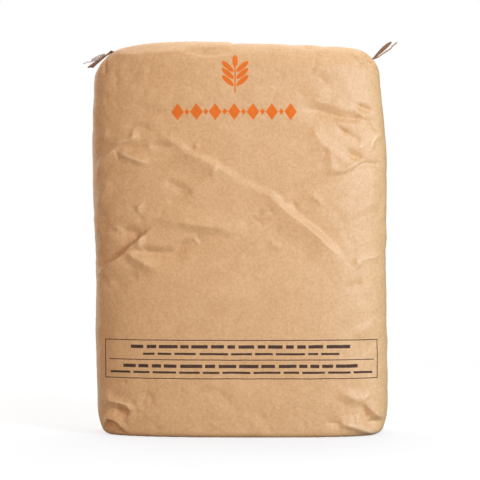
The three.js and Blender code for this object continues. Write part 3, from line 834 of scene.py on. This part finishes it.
def paper_material():
    """Kraft paper: mottling, fibres that run upwards, flecks, hairlines, rubbed creases with a painted
    highlight and the print.
    """
    n = Nodes("kraft_paper")
    place = n.place()
    along = n.place((1, 1, 0.28))
    mottle = n.noise(place, 42, 4)
    fibre = n.noise(along, 900, 3, 0.6)
    flecks = n.noise(place, 270, 3, 0.65)
    nets = []
    for cells, patches, width in HAIRLINES:
        net = n.ramp(n.cell_edges(place, cells), width, 0)
        nets.append(n.math("MULTIPLY", net, n.ramp(n.noise(place, patches, 2), 0.5, 0.64)))
    hairline = union(n, nets)
    large = n.spread(n.ramp(mottle, 0.25, 0.75), 0.12, 0.34)
    small = n.spread(n.ramp(flecks, 0.34, 0.66), 0, 0.36)
    finest = n.spread(n.ramp(fibre, 0.3, 0.7), 0, 0.2)
    tone = n.math("ADD", n.math("ADD", large, small), finest)
    colour = n.mix(tone, PAPER_DARK, PAPER_LIGHT)
    # A pale line along the crease ridges: partly rubbed paper, partly a painted highlight where the ridges
    # catch the light.
    colour = n.mix(n.math("MULTIPLY", n.attribute("worn_and_glinting"), 0.55), colour, PAPER_WORN_AND_GLINT)
    # The hairlines get a faint trace of the same pale.
    colour = n.mix(n.math("MULTIPLY", hairline, 0.03), colour, PAPER_WORN_AND_GLINT)
    orange, brown = print_masks(n)
    soaked = n.spread(n.ramp(flecks, 0.35, 0.7), 1.0, 0.93)
    colour = n.mix(n.math("MULTIPLY", orange, soaked), colour, ORANGE_INK)
    colour = n.mix(n.math("MULTIPLY", brown, soaked), colour, BROWN_INK)
    n.feed(n.shader.inputs["Base Color"], colour)
    ink = n.math("MAXIMUM", orange, brown)
    matt = n.math("MULTIPLY", ink, INK_ROUGHER)
    n.feed(n.shader.inputs["Roughness"], n.math("ADD", n.spread(flecks, 0.54, 0.66), matt, clamp=True))
    n.shader.inputs["Specular IOR Level"].default_value = 0.8
    coarse = n.noise(place, 150, 4, 0.6)
    rough = n.bump(fibre, 0.00012, 0.6)
    uneven = n.bump(coarse, 0.0005, 0.4, rough)
    n.feed(n.shader.inputs["Normal"], n.bump(hairline, 0.0004, 0.3, uneven))
    return n.material


def tape_material():
    """Creped brown paper: fine ridges across the tape."""
    n = Nodes("crepe_tape")
    across = n.place((1, 0.12, 1))
    crepe = n.noise(across, 700, 2, 0.6)
    patches = n.noise(n.place(), 90, 3)
    colour = n.mix(n.ramp(crepe, 0.3, 0.7), TAPE_DARK, TAPE_LIGHT)
    colour = n.mix(n.spread(patches, -0.2, 0.5), colour, TAPE_DARK)
    n.feed(n.shader.inputs["Base Color"], colour)
    n.shader.inputs["Roughness"].default_value = 0.8
    n.shader.inputs["Specular IOR Level"].default_value = 0.3
    n.feed(n.shader.inputs["Normal"], n.bump(crepe, 0.0004, 0.8))
    return n.material


def thread_material(name, dark, light):
    """Twisted cotton: fine slanting strands and a little fuzz."""
    n = Nodes(name)
    twist = n.noise(n.place(), 1500, 2, 0.5)
    patches = n.noise(n.place(), 160, 2)
    colour = n.mix(n.ramp(twist, 0.35, 0.65), dark, light)
    colour = n.mix(n.spread(patches, -0.3, 0.6), colour, dark)
    n.feed(n.shader.inputs["Base Color"], colour)
    n.shader.inputs["Roughness"].default_value = 0.9
    n.shader.inputs["Sheen Weight"].default_value = 0.3
    n.feed(n.shader.inputs["Normal"], n.bump(twist, 0.0002, 0.7))
    return n.material


# The closing tape lies on the back half of the top, and its two ends stand off the shoulders.
TAPE_WIDTH = 27
TAPE_THICKNESS = 2.2
TAPE_CLEARANCE = 1.4
TAPE_FRONT = 3  # y of its front edge
TAPE_MIDDLE = TAPE_FRONT + TAPE_WIDTH / 2
TAPE_STEP = 1.3
TAPE_ACROSS = 10
END_FORWARD = 9  # how far the tips stand in front of the tape's middle line
TAPE_LEAVES = 30  # length over which the tape parts from the sack's top before each root
CREPE_RISE = 0.16
CREPE_SIZE = 1.9
RIPPLE_RISE = 0.7
RIPPLE_SIZE = 17
NOTCH = 3.2  # depth of the notch torn into the left tip
NOTCH_STEPS = 5  # steps along the tape over which the notch fades out
TAPE_EDGE = 0.35  # share of the thickness that is left at the tape's edges
TAPE_EDGE_FADES = 0.16  # share of the width over which the front edge thins


class TapeEnd:
    """A free end of the tape: (x, z) where it leaves the sack and where it stops, and how it changes."""

    def __init__(self, root, tip, lean, turning, bow, widths):
        self.root = np.array(root, float)
        self.tip = np.array(tip, float)
        self.lean = lean  # turn about its own line at the tip, in radians
        self.turning = turning  # exponent of how the lean grows towards the tip
        self.bow = bow  # how far its middle bows upwards
        self.widths = widths  # (share of its length, share of the tape's width) keys

    def station(self, share):
        at = self.root + (self.tip - self.root) * share
        bow = self.bow * 4 * share * (1 - share)
        place = np.array([at[0], TAPE_MIDDLE - END_FORWARD * share, at[1] + bow])
        return place, self.lean * share**self.turning, float(through(self.widths, share))


LEFT_END = TapeEnd((-182, 531), (-209.5, 508), 0.45, 0.5, 0.8, [(0, 1), (0.5, 0.85), (1, 0.82)])
RIGHT_END = TapeEnd(
    (186, 520.5), (212, 544), 0.6, 1, 0.8, [(0, 0.9), (0.3, 0.8), (0.6, 0.74), (0.85, 0.4), (1, 0.06)])


def top_at(x, y):
    """Heights of the sack's top."""
    low = np.stack([x, y, np.full(len(x), HEIGHT / 2)], axis=1)
    high = np.stack([x, y, np.full(len(x), float(HEIGHT))], axis=1)
    return drawn_onto(low, high)[:, 2]


def tape_stations():
    """The tape's middle line from left to right: places, leans, and shares of the full width."""
    stations = []
    end_steps = int(round(np.linalg.norm(LEFT_END.tip - LEFT_END.root) / TAPE_STEP))
    for i in range(end_steps, 0, -1):
        stations.append(LEFT_END.station(i / end_steps))
    steps = int(round((RIGHT_END.root[0] - LEFT_END.root[0]) / TAPE_STEP))
    x = np.linspace(LEFT_END.root[0], RIGHT_END.root[0], steps + 1)
    flat = np.ones(len(x))
    front = top_at(x, flat * TAPE_FRONT)
    middle = top_at(x, flat * TAPE_MIDDLE)
    back = top_at(x, flat * (TAPE_FRONT + TAPE_WIDTH))
    lying = np.maximum(middle, (front + back) / 2) + TAPE_CLEARANCE + TAPE_THICKNESS / 2
    left = smooth(0, TAPE_LEAVES, TAPE_LEAVES - np.abs(x - LEFT_END.root[0]))
    right = smooth(0, TAPE_LEAVES, TAPE_LEAVES - np.abs(x - RIGHT_END.root[0]))
    height = lying + (LEFT_END.root[1] - lying) * left + (RIGHT_END.root[1] - lying) * right
    leans = np.arctan2(back - front, TAPE_WIDTH) * (1 - left - right)
    for i in range(len(x)):
        stations.append((np.array([x[i], TAPE_MIDDLE, height[i]]), leans[i], 1.0))
    end_steps = int(round(np.linalg.norm(RIGHT_END.tip - RIGHT_END.root) / TAPE_STEP))
    for i in range(1, end_steps + 1):
        stations.append(RIGHT_END.station(i / end_steps))
    return stations


def with_directions(stations):
    """Adds the directions across the tape and out of its upper side, both square to its run."""
    places = np.array([s[0] for s in stations])
    leans = np.array([s[1] for s in stations])
    widths = np.array([s[2] for s in stations])
    ahead = np.gradient(places, axis=0)
    ahead /= np.linalg.norm(ahead, axis=1)[:, None]
    across = np.stack([np.zeros(len(leans)), np.cos(leans), np.sin(leans)], axis=1)
    across -= ahead * (across * ahead).sum(axis=1)[:, None]
    across /= np.linalg.norm(across, axis=1)[:, None]
    return places, widths, across, np.cross(ahead, across)


def joined_rings(rings):
    """Points and faces of a closed band: rings of points joined one to the next, with capped ends."""
    count, sides = len(rings), len(rings[0])
    faces = []
    for r in range(count - 1):
        for side in range(sides):
            a, b = r * sides + side, r * sides + (side + 1) % sides
            faces.append((a, b, b + sides, a + sides))
    faces.append(tuple(range(sides - 1, -1, -1)))
    faces.append(tuple((count - 1) * sides + side for side in range(sides)))
    return np.concatenate(rings), faces


def make_tape(stations):
    """The tape as one band: thin at its edges, creped and rippled, with a notch in its left tip."""
    places, widths, across, out = with_directions(stations)
    rings = []
    shares = np.linspace(0, 1, TAPE_ACROSS + 1)
    along = (LEFT_END.root - LEFT_END.tip) / np.linalg.norm(LEFT_END.root - LEFT_END.tip)
    inwards = np.array([along[0], 0, along[1]])
    for i, place in enumerate(places):
        x = place[0]
        notch = NOTCH * max(1 - i / NOTCH_STEPS, 0)
        crepe = CREPE_RISE * noise.noise(Vector((x / CREPE_SIZE, 0.4, 0)))
        ring = []
        for layer, order in ((-1, shares), (1, shares[::-1])):
            for share in order:
                side = (share - 0.5) * TAPE_WIDTH * widths[i]
                ripple = RIPPLE_RISE * noise.noise(Vector((x / RIPPLE_SIZE, share * 1.4, 3.3)))
                thick = TAPE_THICKNESS / 2 * (TAPE_EDGE + (1 - TAPE_EDGE) * smooth(0, TAPE_EDGE_FADES, share))
                if share == 1:
                    thick *= TAPE_EDGE
                rise = layer * thick + (crepe + ripple if layer > 0 else ripple * 0.4)
                back = notch * (1 - abs(2 * share - 1))
                ring.append(place + across[i] * side + out[i] * rise + inwards * back)
        rings.append(np.array(ring))
    return mesh_object("crepe_tape", *joined_rings(rings))


def tube(line, radius, sides=8):
    """Rings around a line of points."""
    line = np.asarray(line, float)
    forward = np.gradient(line, axis=0)
    forward /= np.linalg.norm(forward, axis=1)[:, None]
    side = np.cross(forward[0], (0.0, 0.3, 1.0))
    rings = []
    for place, ahead in zip(line, forward):
        side = side - ahead * np.dot(side, ahead)
        side /= np.linalg.norm(side)
        up = np.cross(ahead, side)
        turns = np.linspace(0, 2 * math.pi, sides, endpoint=False)
        rings.append(np.array([place + radius * (math.cos(t) * side + math.sin(t) * up) for t in turns]))
    return joined_rings(rings)


def curve_through(points, steps):
    """A smooth line through a few points."""
    points = np.asarray(points, float)
    lengths = np.concatenate([[0], np.cumsum(np.linalg.norm(np.diff(points, axis=0), axis=1))])
    at = np.linspace(0, lengths[-1], steps)
    return np.stack([through(list(zip(lengths, points[:, k])), at) for k in range(3)], axis=1)


def joined(parts):
    """Several (points, faces) as one."""
    points, faces, done = [], [], 0
    for part_points, part_faces in parts:
        points.append(part_points)
        faces.extend(tuple(i + done for i in face) for face in part_faces)
        done += len(part_points)
    return np.concatenate(points), faces


THREAD_RADIUS = 0.75
THREAD_ACROSS = 0.36  # where the stitch line lies, as a share of the tape's width
STITCH = 8.2  # from one stitch to the next
STITCH_GAP = 1.5
STITCH_DIP = 2.2  # how far its ends go down into the tape, in radii, and the exponent of that curve
STITCH_CURVE = 6
STITCH_SINK = 0.7  # height of the thread's middle over the tape, in radii
# The chain that runs on past the left end of the seam: three strands that weave over each other, (x, y, z).
CHAIN = [(-190, 13.5, 527), (-199, 12, 522.8), (-208, 10.5, 518.2)]
CHAIN_SPREAD = 2.3
CHAIN_WAVES = 1.5
CHAIN_RADIUS = 0.95
# The tails that run on from the chain and from the right end.
LEFT_TAIL = [(-206, 10, 518), (-209.5, 9, 516.4), (-213.7, 8, 516.2), (-217, 7.5, 514.6), (-219.2, 7, 513.6)]
RIGHT_TAIL = [(188, 8, 521), (192.9, 5, 522.7), (199.8, 4, 527.4), (206.8, 4, 531.8), (211, 4, 535),
              (213.1, 4, 538.1), (216.6, 4, 540.6), (219.3, 4, 543.1)]
TAIL_RADIUS = 1.0


def chain_strand(turn):
    """One of the three strands of the chain."""
    line = curve_through(CHAIN, 40)
    share = np.linspace(0, 1, len(line))
    angle = 2 * math.pi * (CHAIN_WAVES * share + turn)
    narrow = np.sqrt(np.sin(math.pi * (0.08 + 0.84 * share)))
    line[:, 2] += CHAIN_SPREAD * narrow * np.sin(angle)
    line[:, 1] += CHAIN_RADIUS * np.cos(2 * angle)
    return tube(line, CHAIN_RADIUS)


def make_thread(stations):
    """A row of stitches along the tape, and the chain and tail at its left end."""
    places, _, across, out = with_directions(stations)
    on_sack = (places[:, 0] > LEFT_END.root[0]) & (places[:, 0] < RIGHT_END.root[0])
    x = places[on_sack, 0]
    lift = TAPE_THICKNESS / 2 + THREAD_RADIUS * STITCH_SINK
    centres = places[on_sack] + across[on_sack] * (THREAD_ACROSS - 0.5) * TAPE_WIDTH + out[on_sack] * lift
    parts = [chain_strand(k / 3) for k in range(3)]
    at = x[0] + STITCH / 2
    while at + STITCH < x[-1]:
        shares = np.linspace(0, 1, 9)
        along = at + shares * (STITCH - STITCH_GAP)
        line = np.stack([np.interp(along, x, centres[:, k]) for k in range(3)], axis=1)
        line[:, 2] -= (THREAD_RADIUS * STITCH_DIP) * np.abs(2 * shares - 1) ** STITCH_CURVE
        parts.append(tube(line, THREAD_RADIUS))
        at += STITCH
    parts.append(tube(curve_through(LEFT_TAIL, 50), THREAD_RADIUS))
    return mesh_object("sewing_thread_white", *joined(parts))


def make_looper_tail():
    """The brown tail at the right end."""
    return mesh_object("sewing_thread_brown", *tube(curve_through(RIGHT_TAIL, 60), TAIL_RADIUS))


def put_material(made, material):
    made.data.materials.clear()
    made.data.materials.append(material)


def area_light(name, place, aim, size, power, colour=(1, 1, 1)):
    light = bpy.data.lights.new(name, "AREA")
    light.shape = "RECTANGLE"
    light.size, light.size_y = size
    light.energy = power
    light.color = colour
    made = bpy.data.objects.new(name, light)
    made.location = place
    made.rotation_euler = (Vector(aim) - Vector(place)).to_track_quat("-Z", "Y").to_euler()
    bpy.context.scene.collection.objects.link(made)


def make_camera():
    lens = bpy.data.cameras.new("camera")
    lens.sensor_width = SENSOR
    lens.lens = SENSOR * CAMERA_DISTANCE / PHOTO_WIDTH
    camera = bpy.data.objects.new("camera", lens)
    camera.location = (0, -CAMERA_DISTANCE * MM, CAMERA_HEIGHT * MM)
    camera.rotation_euler = (math.pi / 2, 0, 0)
    bpy.context.scene.collection.objects.link(camera)
    bpy.context.scene.camera = camera


def make_floor():
    """A pale round floor that fades out into the white surroundings."""
    ring = [(FLOOR_RADIUS * math.cos(a), FLOOR_RADIUS * math.sin(a), 0)
            for a in np.linspace(0, 2 * math.pi, FLOOR_SIDES, endpoint=False)]
    floor = mesh_object("floor", ring, [range(FLOOR_SIDES)])
    n = Nodes("pale_floor")
    n.shader.inputs["Base Color"].default_value = (FLOOR_PALE, FLOOR_PALE, FLOOR_PALE, 1)
    n.shader.inputs["Roughness"].default_value = 0.9
    n.shader.inputs["Specular IOR Level"].default_value = 0
    away = n.add("ShaderNodeVectorMath", operation="LENGTH")
    n.feed(away.inputs[0], n.place())
    fading = n.ramp(away.outputs["Value"], FLOOR_RADIUS * MM, FLOOR_CLEAR * MM)
    n.feed(n.shader.inputs["Alpha"], n.math("MULTIPLY", fading, FLOOR_SHOWS))
    put_material(floor, n.material)


def make_world():
    """White to the eye, and a dim soft light on the object."""
    world = bpy.data.worlds.new("studio")
    world.use_nodes = True
    tree = world.node_tree
    background = tree.nodes["Background"]
    background.inputs["Color"].default_value = (1, 1, 1, 1)
    seen = tree.nodes.new("ShaderNodeLightPath").outputs["Is Camera Ray"]
    strength = tree.nodes.new("ShaderNodeMapRange")
    strength.inputs["To Min"].default_value = WORLD_LIGHT
    strength.inputs["To Max"].default_value = 1
    tree.links.new(seen, strength.inputs["Value"])
    tree.links.new(strength.outputs["Result"], background.inputs["Strength"])
    bpy.context.scene.world = world


def make_lights():
    middle = (0, 0, HEIGHT / 2 * MM)
    area_light("key", (1.6, -1.6, 0.95), middle, (0.8, 0.9), 64, (0.70, 0.84, 1.0))
    area_light("front_fill", (-0.5, -2.4, 0.9), middle, (2.0, 1.6), 24, (1.0, 0.62, 0.42))
    area_light("fill", (-1.7, -0.9, 0.5), middle, (1.0, 1.2), 1.6)
    area_light("rim_left", (-1.5, 0.9, 0.6), middle, (0.8, 1.4), 12)
    area_light("top", (0, 0.9, 2.2), (0, 0.3, 0), (2.4, 2.4), 52)


bpy.context.scene.view_settings.view_transform = "Standard"
make_camera()
make_floor()
make_world()
make_lights()
halves = make_sack()
paper = paper_material()
for half in halves:
    put_material(half, paper)
stations = tape_stations()
tape = make_tape(stations)
put_material(tape, tape_material())
thread = make_thread(stations)
put_material(thread, thread_material("white_cotton", THREAD_DARK, THREAD_LIGHT))
looper = make_looper_tail()
put_material(looper, thread_material("brown_cotton", LOOPER_DARK, LOOPER_LIGHT))

for piece in (*halves, tape, thread, looper):
    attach(piece, "root")
for half in halves:
    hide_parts("sack")
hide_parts("closing_tape")
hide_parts("sewing_thread")
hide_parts("sewing_thread")
